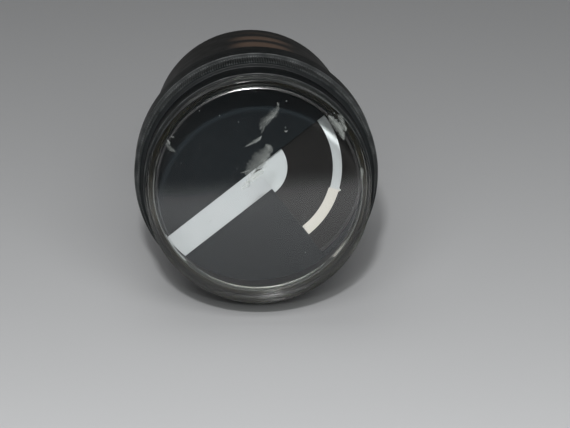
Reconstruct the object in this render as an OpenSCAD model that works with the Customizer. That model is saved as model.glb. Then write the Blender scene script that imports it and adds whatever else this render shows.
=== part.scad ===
// Round panel indicator: a disc turns behind a fixed dial to show a position.
// The instrument's axis lies along Y. The window faces -Y and the terminals face +Y.
// The origin is the centre of the panel seat, the flat ring behind the knurled case.
// Angles on the dial are seen from the front, anticlockwise from +X.

/* [Front] */
// Length from the panel seat to the front of the clear cap
front_len = 19; // [18.5:0.5:22]
// Outer radius of the clear cap
cap_r = 13; // [12.9:0.05:13.1]
// Thickness of the cap's flat front
cap_front_t = 2.6; // [2:0.1:2.8]
// Wall of the cap
cap_wall = 0.8; // [0.7:0.05:0.9]
// Width of the bevel in the cap's inner corner, which shows as a bright ring
cap_bevel = 0.3; // [0.2:0.05:0.4]
// Radius of the round that joins the bevel to the flat inside of the cap
cap_round = 0.6; // [0.4:0.05:0.7]

/* [Case] */
// Outer radius of the case's flange, which rests on the panel
case_r = 14.5; // [14.4:0.1:16]
// Length of the flange and the knurled band in front of the panel seat
knurl_case_len = 9.7; // [9.5:0.1:10.5]
// Outer radius of the knurled band
knurl_r = 14.05; // [14:0.05:14.1]
// Width of the knurled band
knurl_w = 3.5; // [2.5:0.1:4]
// Number of knurls
knurl_count = 150; // [90:10:180]
// Depth of a knurl
knurl_depth = 0.14; // [0.08:0.02:0.2]

/* [Body] */
// Outer radius of the body can
can_r = 12.5; // [12.4:0.05:12.7]
// Length of the body can behind the panel seat
can_len = 33; // [33:1:40]
// Wall of the body can
can_wall = 0.75; // [0.6:0.05:0.8]

/* [Dial] */
// Distance from the panel seat forward to the face of the fixed dial
dial_front = 2.2; // [2.1:0.05:2.4]
// Radius of the fixed dial
dial_r = 13.7; // [13.6:0.05:13.7]
// Angle of the dividing line, where the quarter opening begins
divide_angle = 38; // [0:1:90]
// Angle that the quarter opening covers
opening_angle = 90; // [60:5:90]
// Width of the white bars
bar_w = 3.15; // [2:0.05:4]
// Radius of the white hub
hub_mark_r = 3.84; // [3:0.02:4.5]
// Inner radius of the white arc
arc_in_r = 9.32; // [8.5:0.02:9.6]
// Outer radius of the white arc
arc_out_r = 10.42; // [10:0.02:11]

/* [Movement] */
// Radius of the rotor shaft
shaft_r = 0.8; // [0.7:0.05:0.9]
// Radial clearance of the shaft in its bearings
bearing_gap = 0.04; // [0.02:0.01:0.08]
// Radius of the rotor magnet
magnet_r = 4.2; // [3.5:0.1:4.3]
// Turns of the hairspring
spring_turns = 5; // [4:1:5]
// Angle that the disc turns between its stops
travel = 90; // [60:5:90]

/* [Terminals] */
// Number of terminals, one for each coil
terminal_count = 4; // [4]
// Distance of the terminals from the axis
terminal_ring_r = 7; // [6.5:0.1:7.2]
// Length of the terminals outside the rear cover
terminal_out = 6; // [4:0.5:10]

/* [Hidden] */
$fn = 96;

// Front stack, as places along Y
front_y = -front_len;
cap_len = 4.2;
spigot_len = 1.4;
cap_inside_y = front_y + cap_front_t;
neck_front_y = front_y + cap_len;
spigot_back_y = neck_front_y + spigot_len;
spigot_r = 12.75;
cap_bore_r = cap_r - cap_wall;
round_steps = 4;
edge_round = 0.15;
seal_t = 0.4;
seal_bore_r = 12.25;
seal_back_y = spigot_back_y + seal_t;
seal_lip_r = 12.4;
seal_lip_t = 0.4;

// Front case
neck_r = 13.3;
chamber_r = dial_r + 0.05;
front_chamber_r = 13.2;
case_front_y = -knurl_case_len;
shoulder_t = 0.6;
case_chamfer = 0.2;
knurl_back_y = case_front_y + case_chamfer + knurl_w;

// Dial, disc and the can's front flange
dial_t = 0.4;
dial_face_y = -dial_front;
dial_back_y = dial_face_y + dial_t;
mark_t = 0.05;
opening_r = 13.05;
disc_r = 12.7;
disc_t = 0.3;
disc_gap = 0.45;
disc_front_y = dial_back_y + disc_gap;
disc_back_y = disc_front_y + disc_t;
bar_start_r = 1.2;
recess_r = 13.1;
recess_back_y = -0.6;
can_bore_r = can_r - can_wall;
plate_seat_y = 1;
lip_r = 11;
hub_r = 2.2;
hub_back_y = 0.2;
shaft_front_y = disc_back_y + 0.3;
divide_end = divide_angle - opening_angle;

// Movement, from the front plate to the rear cover
plate_t = 1.2;
plate_r = can_bore_r - 0.05;
front_plate_back_y = plate_seat_y + plate_t;
core_front_y = 5.5;
core_len = 7;
core_back_y = core_front_y + core_len;
rear_plate_y = 18;
rear_plate_back_y = rear_plate_y + plate_t;
bolt_count = 4;
bolt_ring_r = 9.9;
bolt_r = 0.6;
bolt_head_r = 1.05;
bolt_head_t = 0.6;
slot_w = 0.3;
nut_r = 1.05;
nut_t = 0.9;
spacer_r = 1.0;
jewel_r = 1.6;
pivot_r = 0.4;
shaft_back_y = 17.9;
pivot_back_y = rear_plate_back_y + 0.3;
pole_count = 4;
core_r = can_bore_r - 0.15;
core_in_r = 9.2;
pole_tip_r = magnet_r + 0.5;
pole_w = 2.6;
bobbin_t = 0.35;
coil_t = 0.9;
coil_in_r = 5.5;
coil_out_r = 8.8;
sleeve_r = 1.6;
magnet_len = 8;
magnet_front_y = core_front_y + core_len / 2 - magnet_len / 2;

// Hairspring: a flat spiral between the collet and the stud
spring_y = 3.1;
spring_w = 0.5;
spring_strip = 0.12;
collet_r = 1.45;
collet_w = 0.9;
stud_r = 0.35;
spring_out_r = 3.7;
stud_ring_r = spring_out_r + stud_r;
spring_steps = 24;

// Stops
arm_y = 14.6;
arm_t = 0.8;
arm_len = 5.2;
arm_w = 0.8;
arm_hub_r = 1.5;
arm_collar = 0.3;
stop_pin_r = 0.5;
stop_ring_r = 4.6;
stop_margin = 0.6;
arm_rest_angle = divide_angle + 90;
stop_offset = asin((arm_w / 2 + stop_pin_r) / stop_ring_r) + stop_margin;

// Rear end
cover_t = 2;
can_lip_t = 0.8;
spun_r = 0.6;
cover_back_y = can_len - can_lip_t;
cover_front_y = cover_back_y - cover_t;
rear_gasket_t = 0.4;
gasket_w = 0.9;
spacer_wall = 0.7;
can_lip_r = can_bore_r - 0.55;
post_r = 0.7;
post_collar_r = 1.15;
collar_t = 0.5;
post_in_y = 25;
lead_r = 0.22;
lead_hole_r = 0.6;

// Lays a shape that was drawn along +Z along +Y, starting at y
module along(y) {
    translate([0, y, 0])
        rotate([-90, 0, 0])
            children();
}

// Round bar between two places on the axis
module rod(radius, y0, y1) {
    along(y0)
        cylinder(r = radius, h = y1 - y0);
}

// Round tube between two places on the axis
module tube(outer, inner, y0, y1) {
    along(y0)
        difference() {
            cylinder(r = outer, h = y1 - y0);
            translate([0, 0, -1])
                cylinder(r = inner, h = y1 - y0 + 2);
        }
}

// Turned piece: points hold a radius and a place along Y
module turned(points) {
    rotate([-90, 0, 0])
        rotate_extrude()
            polygon(points);
}

// Copies on a circle round the axis, the first one at a given angle
module round_axis(count, radius, first = 0) {
    for (i = [0 : count - 1])
        rotate([0, -(first + i * 360 / count), 0])
            translate([radius, 0, 0])
                children();
}

// Point on the dial at an angle and a radius, in the sense that along() draws in
function dial_point(angle, radius) = [radius * cos(angle), -radius * sin(angle)];

// Flat sector of a ring between two angles, in the sense that along() draws in
module sector(outer, inner, a0, a1) {
    steps = max(2, ceil(abs(a1 - a0) / 3));
    outer_arc = [for (i = [0 : steps]) dial_point(a0 + (a1 - a0) * i / steps, outer)];
    inner_arc = [for (i = [steps : -1 : 0]) dial_point(a0 + (a1 - a0) * i / steps, inner)];
    polygon(inner > 0 ? concat(outer_arc, inner_arc) : concat(outer_arc, [[0, 0]]));
}

// Straight bar with one long edge on the line at an angle, clear of the given radius
module bar_outline(angle, side, start_r, end_r) {
    rotate([0, 0, -angle])
        intersection() {
            translate([0, side > 0 ? 0 : -bar_w])
                square([end_r, bar_w]);
            difference() {
                circle(r = end_r);
                circle(r = start_r);
            }
        }
}

// Clear cap: flat front, wall with a bevelled inner corner, and a spigot that enters the neck
module front_cap() {
    round_start_r = cap_bore_r - cap_bevel - cap_round * sin(45);
    corner = [for (i = [round_steps : -1 : 0])
        [round_start_r + cap_round * sin(i * 45 / round_steps),
            cap_inside_y + cap_round * (1 - cos(i * 45 / round_steps))]];
    bevel_end_y = corner[0][1] + cap_bevel;
    color([0.85, 0.9, 0.92, 0.35])
        turned(concat([
            [0, front_y],
            [cap_r - edge_round, front_y],
            [cap_r - 0.04, front_y + 0.04],
            [cap_r, front_y + edge_round],
            [cap_r, neck_front_y],
            [spigot_r, neck_front_y],
            [spigot_r, spigot_back_y],
            [cap_bore_r, spigot_back_y],
            [cap_bore_r, bevel_end_y]
        ], corner, [[0, cap_inside_y]]));
}

// Flat ring that the cap's spigot presses on a lip in the neck
module cap_seal() {
    color([0.22, 0.17, 0.13])
        tube(spigot_r, seal_bore_r, spigot_back_y, seal_back_y);
}

// Stepped case: plain neck, knurled band and plain flange
module front_case() {
    tooth = 360 / knurl_count;
    root_r = knurl_r - knurl_depth;
    color([0.12, 0.13, 0.13]) {
        difference() {
            union() {
                turned([
                    [spigot_r, neck_front_y],
                    [neck_r - edge_round, neck_front_y],
                    [neck_r, neck_front_y + edge_round],
                    [neck_r, case_front_y],
                    [root_r - case_chamfer, case_front_y],
                    [root_r, case_front_y + case_chamfer],
                    [root_r, knurl_back_y],
                    [case_r - edge_round, knurl_back_y],
                    [case_r, knurl_back_y + edge_round],
                    [case_r, -case_chamfer],
                    [case_r - case_chamfer, 0],
                    [chamber_r, 0],
                    [chamber_r, knurl_back_y],
                    [front_chamber_r, knurl_back_y],
                    [front_chamber_r, case_front_y + shoulder_t],
                    [spigot_r, case_front_y + shoulder_t],
                    [spigot_r, seal_back_y + seal_lip_t],
                    [seal_lip_r, seal_back_y + seal_lip_t],
                    [seal_lip_r, seal_back_y],
                    [spigot_r, seal_back_y]
                ]);
                along(case_front_y + case_chamfer)
                    linear_extrude(knurl_w)
                        polygon([
                            for (i = [0 : 2 * knurl_count - 1])
                                dial_point(i * tooth / 2, i % 2 == 0 ? knurl_r : root_r - 0.02)
                        ]);
            }
            rod(chamber_r, knurl_back_y, 1);
            rod(front_chamber_r, case_front_y + shoulder_t, knurl_back_y + 1);
            rod(spigot_r, case_front_y - 1, case_front_y + shoulder_t + 1);
        }
    }
}

// Drawn can: front flange with the disc's recess, tube, and spun-over rear edge
module body_can() {
    color([0.19, 0.18, 0.17])
        turned([
            [recess_r, dial_back_y],
            [chamber_r, dial_back_y],
            [chamber_r, 0],
            [can_r, 0],
            [can_r, can_len - spun_r],
            [can_r - 0.3 * spun_r, can_len - 0.3 * spun_r],
            [can_r - spun_r, can_len],
            [can_lip_r, can_len],
            [can_lip_r, cover_back_y],
            [can_bore_r, cover_back_y],
            [can_bore_r, plate_seat_y],
            [lip_r, plate_seat_y],
            [lip_r, recess_back_y],
            [recess_r, recess_back_y]
        ]);
}

// Fixed dial with the quarter opening
module dial_plate() {
    color([0.14, 0.155, 0.165])
        along(dial_face_y)
            linear_extrude(dial_t)
                difference() {
                    circle(r = dial_r);
                    sector(opening_r, 0, divide_end, divide_angle);
                }
}

// White bar that ends at the opening, with its upper edge on the dividing line
module dial_bar_mark() {
    color([0.76, 0.78, 0.78])
        along(dial_face_y - mark_t)
            linear_extrude(mark_t)
                difference() {
                    bar_outline(divide_angle + 180, -1, 0, dial_r - 0.05);
                    sector(opening_r, 0, divide_end, divide_angle);
                }
}

module indicator_disc() {
    color([0.15, 0.15, 0.15])
        rod(disc_r, disc_front_y, disc_back_y);
}

// White hub and arc of one quarter, and the bar that the next quarter brings up
module disc_marks() {
    hidden_angle = divide_angle + travel;
    color([0.76, 0.77, 0.76])
        along(disc_front_y - mark_t)
            linear_extrude(mark_t) {
                sector(hub_mark_r, 0, divide_end, divide_angle);
                sector(arc_out_r, arc_in_r, divide_end, divide_angle);
                bar_outline(hidden_angle, 1, bar_start_r, disc_r - 0.05);
            }
}

// Brass hub between the disc and the shaft, blind at the disc
module disc_hub() {
    color([0.78, 0.62, 0.3])
        difference() {
            rod(hub_r, disc_back_y, hub_back_y);
            rod(shaft_r, shaft_front_y, hub_back_y + 1);
        }
}

module rotor_shaft() {
    color([0.75, 0.76, 0.78]) {
        rod(shaft_r, shaft_front_y, shaft_back_y);
        rod(pivot_r, shaft_back_y, pivot_back_y);
    }
}

// Jewelled bush pressed into the front plate
module front_jewel() {
    color([0.6, 0.08, 0.15])
        tube(jewel_r, shaft_r + bearing_gap, plate_seat_y, front_plate_back_y);
}

module rear_jewel() {
    color([0.6, 0.08, 0.15])
        tube(jewel_r, pivot_r + bearing_gap, rear_plate_y, rear_plate_back_y);
}

// Round plate with the jewel's seat and the bolt holes
module movement_plate(y) {
    difference() {
        rod(plate_r, y, y + plate_t);
        rod(jewel_r, y - 1, y + plate_t + 1);
        round_axis(bolt_count, bolt_ring_r)
            rod(bolt_r, y - 1, y + plate_t + 1);
    }
}

module front_plate() {
    color([0.78, 0.64, 0.36])
        movement_plate(plate_seat_y);
}

module rear_plate() {
    color([0.78, 0.64, 0.36])
        difference() {
            movement_plate(rear_plate_y);
            round_axis(terminal_count, terminal_ring_r, 45)
                rod(lead_hole_r, rear_plate_y - 1, rear_plate_back_y + 1);
        }
}

module front_spacers() {
    color([0.74, 0.74, 0.72])
        round_axis(bolt_count, bolt_ring_r)
            tube(spacer_r, bolt_r, front_plate_back_y, core_front_y);
}

module rear_spacers() {
    color([0.74, 0.74, 0.72])
        round_axis(bolt_count, bolt_ring_r)
            tube(spacer_r, bolt_r, core_back_y, rear_plate_y);
}

// Slotted bolts that clamp the plates, the spacers and the core together
module through_bolts() {
    color([0.7, 0.7, 0.7])
        round_axis(bolt_count, bolt_ring_r)
            difference() {
                union() {
                    rod(bolt_r, plate_seat_y, rear_plate_back_y + nut_t + 0.2);
                    rod(bolt_head_r, plate_seat_y - bolt_head_t, plate_seat_y);
                }
                translate([-slot_w / 2, plate_seat_y - bolt_head_t - 1, -bolt_head_r - 1])
                    cube([slot_w, 1 + bolt_head_t / 2, 2 * (bolt_head_r + 1)]);
            }
}

module through_bolt_nuts() {
    color([0.7, 0.7, 0.7])
        round_axis(bolt_count, bolt_ring_r)
            difference() {
                along(rear_plate_back_y)
                    cylinder(r = nut_r, h = nut_t, $fn = 6);
                rod(bolt_r, rear_plate_back_y - 1, rear_plate_back_y + nut_t + 1);
            }
}

// Ring of soft iron with four inward poles
module stator_core() {
    color([0.42, 0.42, 0.43])
        difference() {
            union() {
                tube(core_r, core_in_r, core_front_y, core_back_y);
                round_axis(pole_count, 0, 45)
                    translate([magnet_r - 0.5, core_front_y, -pole_w / 2])
                        cube([core_in_r - magnet_r + 1.1, core_len, pole_w]);
            }
            rod(pole_tip_r, core_front_y - 1, core_back_y + 1);
            round_axis(bolt_count, bolt_ring_r)
                rod(bolt_r, core_front_y - 1, core_back_y + 1);
        }
}

// Square frame round a pole: the gap to the pole, the wall and the radial span are given
module pole_frame(inner_gap, wall, r0, r1) {
    half_w = pole_w / 2 + inner_gap;
    round_axis(pole_count, 0, 45)
        difference() {
            translate([r0, core_front_y - inner_gap - wall, -half_w - wall])
                cube([r1 - r0, core_len + 2 * (inner_gap + wall), 2 * (half_w + wall)]);
            translate([r0 - 1, core_front_y - inner_gap, -half_w])
                cube([r1 - r0 + 2, core_len + 2 * inner_gap, 2 * half_w]);
        }
}

module coil_bobbins() {
    color([0.25, 0.17, 0.1])
        pole_frame(0, bobbin_t, coil_in_r, coil_out_r);
}

module coil_windings() {
    color([0.62, 0.3, 0.14])
        pole_frame(bobbin_t, coil_t, coil_in_r + 0.2, coil_out_r - 0.2);
}

module rotor_magnet() {
    color([0.33, 0.33, 0.35])
        tube(magnet_r, sleeve_r, magnet_front_y, magnet_front_y + magnet_len);
}

module magnet_sleeve() {
    color([0.78, 0.62, 0.3])
        tube(sleeve_r, shaft_r, magnet_front_y, magnet_front_y + magnet_len);
}

// Flat spiral strip from the collet out to the stud
module hairspring() {
    count = spring_turns * spring_steps;
    start_r = collet_r / cos(180 / spring_steps);
    span = spring_out_r - start_r;
    inner_side = [for (i = [0 : count])
        dial_point(i * 360 / spring_steps, start_r + span * i / count)];
    outer_side = [for (i = [count : -1 : 0])
        dial_point(i * 360 / spring_steps, start_r + spring_strip + span * i / count)];
    color([0.3, 0.34, 0.5])
        along(spring_y)
            linear_extrude(spring_w)
                polygon(concat(inner_side, outer_side));
}

module spring_collet() {
    color([0.78, 0.62, 0.3])
        tube(collet_r, shaft_r, spring_y - (collet_w - spring_w) / 2,
            spring_y + (collet_w + spring_w) / 2);
}

// Post on the front plate that holds the spring's outer end
module spring_stud() {
    color([0.75, 0.76, 0.78])
        translate([stud_ring_r + spring_strip, 0, 0])
            rod(stud_r, front_plate_back_y, spring_y + spring_w + 0.3);
}

// Arm on the shaft that meets a pin at each end of the travel
module stop_arm() {
    color([0.75, 0.76, 0.78])
        difference() {
            union() {
                rod(arm_hub_r, arm_y - arm_collar, arm_y + arm_t);
                rotate([0, -arm_rest_angle, 0])
                    translate([0, arm_y, -arm_w / 2])
                        cube([arm_len, arm_t, arm_w]);
            }
            rod(shaft_r, arm_y - 1, arm_y + arm_t + 1);
        }
}

module stop_pins() {
    color([0.75, 0.76, 0.78])
        for (angle = [arm_rest_angle + stop_offset, arm_rest_angle - travel - stop_offset])
            rotate([0, -angle, 0])
                translate([stop_ring_r, 0, 0])
                    rod(stop_pin_r, arm_y - 0.2, rear_plate_y);
}

module movement_spacer() {
    color([0.74, 0.74, 0.72])
        tube(can_bore_r, can_bore_r - spacer_wall, rear_plate_back_y,
            cover_front_y - rear_gasket_t);
}

module rear_gasket() {
    color([0.1, 0.1, 0.1])
        tube(can_bore_r, can_bore_r - gasket_w, cover_front_y - rear_gasket_t, cover_front_y);
}

// Insulating cover, drilled for the terminals
module rear_cover() {
    color([0.16, 0.1, 0.07])
        difference() {
            rod(can_bore_r, cover_front_y, cover_back_y);
            round_axis(terminal_count, terminal_ring_r, 45)
                rod(post_r, cover_front_y - 1, cover_back_y + 1);
        }
}

// Turret posts with a collar on each side of the cover
module terminal_posts() {
    end_y = cover_back_y + terminal_out;
    middle_collar_y = end_y - 0.4 * terminal_out;
    color([0.76, 0.7, 0.52])
        round_axis(terminal_count, terminal_ring_r, 45) {
            rod(post_r, post_in_y, end_y - collar_t);
            for (front = [cover_front_y - collar_t, cover_back_y, middle_collar_y, end_y - collar_t])
                rod(post_collar_r, front, front + collar_t);
        }
}

// Straight leads from the coils to the posts
module coil_leads() {
    color([0.62, 0.3, 0.14])
        round_axis(terminal_count, terminal_ring_r, 45)
            rod(lead_r, core_back_y + bobbin_t + coil_t, post_in_y);
}

front_cap();
cap_seal();
front_case();
body_can();
dial_plate();
dial_bar_mark();
indicator_disc();
disc_marks();
disc_hub();
rotor_shaft();
front_jewel();
rear_jewel();
front_plate();
rear_plate();
front_spacers();
rear_spacers();
through_bolts();
through_bolt_nuts();
stator_core();
coil_bobbins();
coil_windings();
rotor_magnet();
magnet_sleeve();
hairspring();
spring_collet();
spring_stud();
stop_arm();
stop_pins();
movement_spacer();
rear_gasket();
rear_cover();
terminal_posts();
coil_leads();
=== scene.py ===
"""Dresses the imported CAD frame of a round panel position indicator.

The instrument lies on its side on a pale floor, seen from the front and a little
from above. Lengths are given in millimetres and turned to metres where a mesh is made.
"""
import logging
import math
from dataclasses import dataclass
from enum import Enum, IntEnum
from typing import Any

import bpy
import numpy as np
from mathutils import Euler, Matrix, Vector
from mathutils.geometry import tessellate_polygon


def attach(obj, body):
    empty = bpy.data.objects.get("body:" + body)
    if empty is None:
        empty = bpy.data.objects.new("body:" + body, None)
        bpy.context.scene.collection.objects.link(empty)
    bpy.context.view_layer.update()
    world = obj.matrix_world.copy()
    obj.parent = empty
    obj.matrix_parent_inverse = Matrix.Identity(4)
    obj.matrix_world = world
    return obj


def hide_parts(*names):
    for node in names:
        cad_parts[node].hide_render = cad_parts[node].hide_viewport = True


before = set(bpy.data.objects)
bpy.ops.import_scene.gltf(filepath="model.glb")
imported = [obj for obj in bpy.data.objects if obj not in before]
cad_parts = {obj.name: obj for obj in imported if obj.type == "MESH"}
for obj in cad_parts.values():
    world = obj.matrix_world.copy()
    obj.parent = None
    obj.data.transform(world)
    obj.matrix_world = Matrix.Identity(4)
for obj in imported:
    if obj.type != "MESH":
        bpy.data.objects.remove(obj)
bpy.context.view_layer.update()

log = logging.getLogger("position_indicator")

# Metres in a millimetre
MM = 0.001
# Width and height of the picture in pixels
IMAGE_W, IMAGE_H = 570, 428
# Points round a turned piece, and round the clear cap, whose facets would show
COLUMNS, FINE_COLUMNS = 288, 384
# Points round a flat plate
PLATE_POINTS = 240
# A full turn in radians
TAU = 2 * math.pi


class Body(str, Enum):
    """CAD bodies that a piece can ride on."""

    CASE = "case"
    ROTOR = "rotor"


class Slot(str, Enum):
    """Material slots of the part's record that the new pieces stand for."""

    CLEAR_ACRYLIC = "clear_acrylic"
    BROWN_GASKET = "brown_gasket"
    SATIN_BLACK = "satin_black"
    CAN_LACQUER = "can_lacquer"
    DIAL_BLACK = "dial_black"
    DISC_BLACK = "disc_black"
    DIAL_WHITE = "dial_white"
    DISC_WHITE = "disc_white"
    PHENOLIC = "phenolic"
    TINNED_BRASS = "tinned_brass"


def linear(code: str) -> tuple[float, float, float, float]:
    """Turns an sRGB hex colour into linear red, green, blue and an alpha of 1.

    Args:
        code: Six hex digits after a hash sign.

    Returns:
        The four values that a colour socket takes.
    """
    srgb = np.array([int(code[i : i + 2], 16) / 255 for i in (1, 3, 5)])
    light = np.where(srgb <= 0.04045, srgb / 12.92, ((srgb + 0.055) / 1.055) ** 2.4)
    return (*light.tolist(), 1.0)


# Shapes

# Points that agree to this many decimals of a millimetre are one
DECIMALS = 6
# A triangle is left out where twice its area is less, in square millimetres
NO_AREA = 1e-12
# Where a rounded corner's outer points stand, in reaches of its curve
STAND_OFF = 1.5
# Least 1 + m . n in an inset outline, so that a sharp corner stays near its place
SHARP_LIMIT = 0.3


@dataclass
class Surface:
    """Mesh data in millimetres: points, faces in arrays of one size each, and a
    share from 0 to 1 at each point that a finish may read."""

    points: np.ndarray
    faces: list[np.ndarray]
    share: np.ndarray | None = None

    def joined(self, other: "Surface") -> "Surface":
        """Joins another surface to this one.

        Args:
            other: The other surface, which has a share where this one has.

        Returns:
            Both as a single surface.
        """
        shift = len(self.points)
        share = None if self.share is None else np.concatenate([self.share, other.share])
        faces = self.faces + [face + shift for face in other.faces]
        return Surface(np.vstack([self.points, other.points]), faces, share)

    def volume(self) -> float:
        """Works out the volume: the sum over triangles of a . (b x c) / 6.

        Returns:
            The signed volume, above 0 where the faces point out.
        """
        total = 0.0
        for face in self.faces:
            a = self.points[face[:, 0]]
            for k in range(1, face.shape[1] - 1):
                b, c = self.points[face[:, k]], self.points[face[:, k + 1]]
                total += float(np.einsum("ij,ij->i", a, np.cross(b, c)).sum()) / 6
        return total

    def outward(self) -> "Surface":
        """Turns the faces of a closed surface outwards.

        Returns:
            The surface with its faces pointing out.
        """
        if self.volume() >= 0:
            return self
        return Surface(self.points, [face[:, ::-1] for face in self.faces], self.share)

    def welded(self) -> "Surface":
        """Makes points that coincide one.

        A face drops each corner that is the same point as the next one, so that a
        quad at a pole becomes a triangle and one with no area goes.

        Returns:
            The welded surface.
        """
        _, first, index = np.unique(
            np.round(self.points, DECIMALS), axis=0, return_index=True, return_inverse=True
        )
        faces = []
        for face in self.faces:
            corners = index.ravel()[face]
            double = corners == np.roll(corners, -1, axis=1)
            for spare in range(face.shape[1] - 2):
                rows = double.sum(axis=1) == spare
                kept = corners[rows][~double[rows]].reshape(-1, face.shape[1] - spare)
                faces += [kept] if len(kept) else []
        share = None if self.share is None else self.share[first]
        return Surface(self.points[first], faces, share)

    def repeated(self, places: np.ndarray) -> "Surface":
        """Returns one copy of the surface at each place.

        Args:
            places: Offsets in millimetres, one row of x, y and z for each copy.

        Returns:
            The copies as a single surface.
        """
        count = len(self.points)
        points = (places[:, None, :] + self.points[None, :, :]).reshape(-1, 3)
        steps = np.arange(len(places)) * count
        faces = [
            (face[None, :, :] + steps[:, None, None]).reshape(-1, face.shape[1])
            for face in self.faces
        ]
        return Surface(points, faces)


def grid_faces(rows: int, columns: int, wrap_rows: bool, wrap_columns: bool) -> np.ndarray:
    """Joins a grid of points into quads.

    Args:
        rows: Number of rows of points.
        columns: Number of points in a row.
        wrap_rows: True where the last row joins the first.
        wrap_columns: True where the last column joins the first.

    Returns:
        Array of quads: point (i, j) joins (i+1, j), (i+1, j+1) and (i, j+1).
    """
    i, j = np.meshgrid(
        np.arange(rows if wrap_rows else rows - 1),
        np.arange(columns if wrap_columns else columns - 1),
        indexing="ij",
    )
    i, j = i.ravel(), j.ravel()
    down, right = (i + 1) % rows, (j + 1) % columns
    corners = [i * columns + j, down * columns + j, down * columns + right, i * columns + right]
    return np.stack(corners, axis=1)


def rounded(points: list[tuple[float, float]], radii: list[float], steps: int = 5) -> np.ndarray:
    """Rounds the corners of a closed outline.

    Each corner P becomes the curve (1-t)^2 S + 2t(1-t) P + t^2 E, where S and E lie
    on its two sides at the corner's own distance from P. One more point stands on
    each side a little before the curve, so that the flat face stays flat when shaded.

    Args:
        points: Corners of the outline.
        radii: Distance from each corner at which its curve starts.
        steps: Points on each curve.

    Returns:
        The outline with its corners rounded, without repeated points.
    """
    corner = np.array(points, float)
    reach = np.array(radii, float)[:, None]
    before, after = np.roll(corner, 1, axis=0) - corner, np.roll(corner, -1, axis=0) - corner
    long_before = np.linalg.norm(before, axis=1, keepdims=True)
    long_after = np.linalg.norm(after, axis=1, keepdims=True)
    start, end = corner + reach * before / long_before, corner + reach * after / long_after
    t = np.linspace(0, 1, steps)[None, :, None]
    curve = (1 - t) ** 2 * start[:, None] + 2 * t * (1 - t) * corner[:, None] + t**2 * end[:, None]
    aside = STAND_OFF * reach
    early = corner + np.minimum(aside, 0.5 * long_before) * before / long_before
    late = corner + np.minimum(aside, 0.5 * long_after) * after / long_after
    outline = np.concatenate([early[:, None], curve, late[:, None]], axis=1).reshape(-1, 2)
    keep = np.linalg.norm(outline - np.roll(outline, 1, axis=0), axis=1) > 10**-DECIMALS
    return outline[keep]


def spun(radius: np.ndarray, place: np.ndarray, angle: np.ndarray) -> Surface:
    """Carries rows of points round the instrument's axis.

    A point of radius r and place y goes to (r cos a, y, r sin a) at each angle a.

    Args:
        radius: Radius of each row, or of each row at each angle.
        place: Place of each row along Y.
        angle: Angles in radians, in one row.

    Returns:
        The rows joined into quads, the last to the first.
    """
    grid = np.stack([radius * np.cos(angle), place + 0 * angle, radius * np.sin(angle)], axis=-1)
    faces = grid_faces(len(place), angle.size, wrap_rows=True, wrap_columns=True)
    return Surface(grid.reshape(-1, 3), [faces])


def turned(section: np.ndarray, columns: int = COLUMNS) -> Surface:
    """Makes a solid of revolution from its closed section.

    Args:
        section: Radius and place along Y of each point.
        columns: Number of angles.

    Returns:
        The closed ring or solid.
    """
    angle = np.linspace(0, TAU, columns, endpoint=False)[None, :]
    return spun(section[:, :1], section[:, 1:], angle).welded().outward()


def inset(outline: np.ndarray, distance: float) -> np.ndarray:
    """Moves a closed outline to its own left by a distance.

    Each point moves by d (m + n) / (1 + m . n), where m and n are the unit normals
    of the sides that meet there.

    Args:
        outline: Points of the outline.
        distance: How far it moves.

    Returns:
        The moved outline.
    """
    side = np.roll(outline, -1, axis=0) - outline
    side = side / np.linalg.norm(side, axis=1, keepdims=True)
    normal = np.stack([-side[:, 1], side[:, 0]], axis=1)
    before = np.roll(normal, 1, axis=0)
    share = 1 + np.einsum("ij,ij->i", normal, before)[:, None]
    return outline + distance * (normal + before) / np.maximum(share, SHARP_LIMIT)


def plate(outlines: list[np.ndarray], front: float, back: float, edge: float) -> Surface:
    """Makes a flat plate with bevelled edges from its outlines in the XZ plane.

    Its walls are grids over four copies of each outline: moved in by the edge at the
    front and back faces, and full size an edge's depth behind them.

    Args:
        outlines: Outer outline anticlockwise, then holes clockwise.
        front: Place of the front face along Y.
        back: Place of the back face along Y.
        edge: Width of the bevel.

    Returns:
        The closed plate.
    """
    layers = [(edge, front), (0.0, front + edge), (0.0, back - edge), (edge, back)]
    points, faces, flats, first, last, done = [], [], [], [], [], 0
    for outline in outlines:
        count = len(outline)
        rows = [inset(outline, distance) for distance, _ in layers]
        points += [np.insert(row, 1, place, axis=1) for (_, place), row in zip(layers, rows)]
        faces.append(grid_faces(len(layers), count, wrap_rows=False, wrap_columns=True) + done)
        flats.append(rows[0])
        first.append(np.arange(count) + done)
        done += len(layers) * count
        last.append(np.arange(count) + done - count)
    triangles = np.array(tessellate_polygon([[Vector((x, z, 0)) for x, z in f] for f in flats]))
    a, b, c = (np.vstack(flats)[triangles[:, k]] for k in range(3))
    turn = (b[:, 0] - a[:, 0]) * (c[:, 1] - a[:, 1]) - (b[:, 1] - a[:, 1]) * (c[:, 0] - a[:, 0])
    triangles = np.where(turn[:, None] < 0, triangles[:, ::-1], triangles)
    triangles = triangles[np.abs(turn) > NO_AREA]
    faces += [np.concatenate(first)[triangles], np.concatenate(last)[triangles][:, ::-1]]
    return Surface(np.vstack(points), faces)


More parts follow.
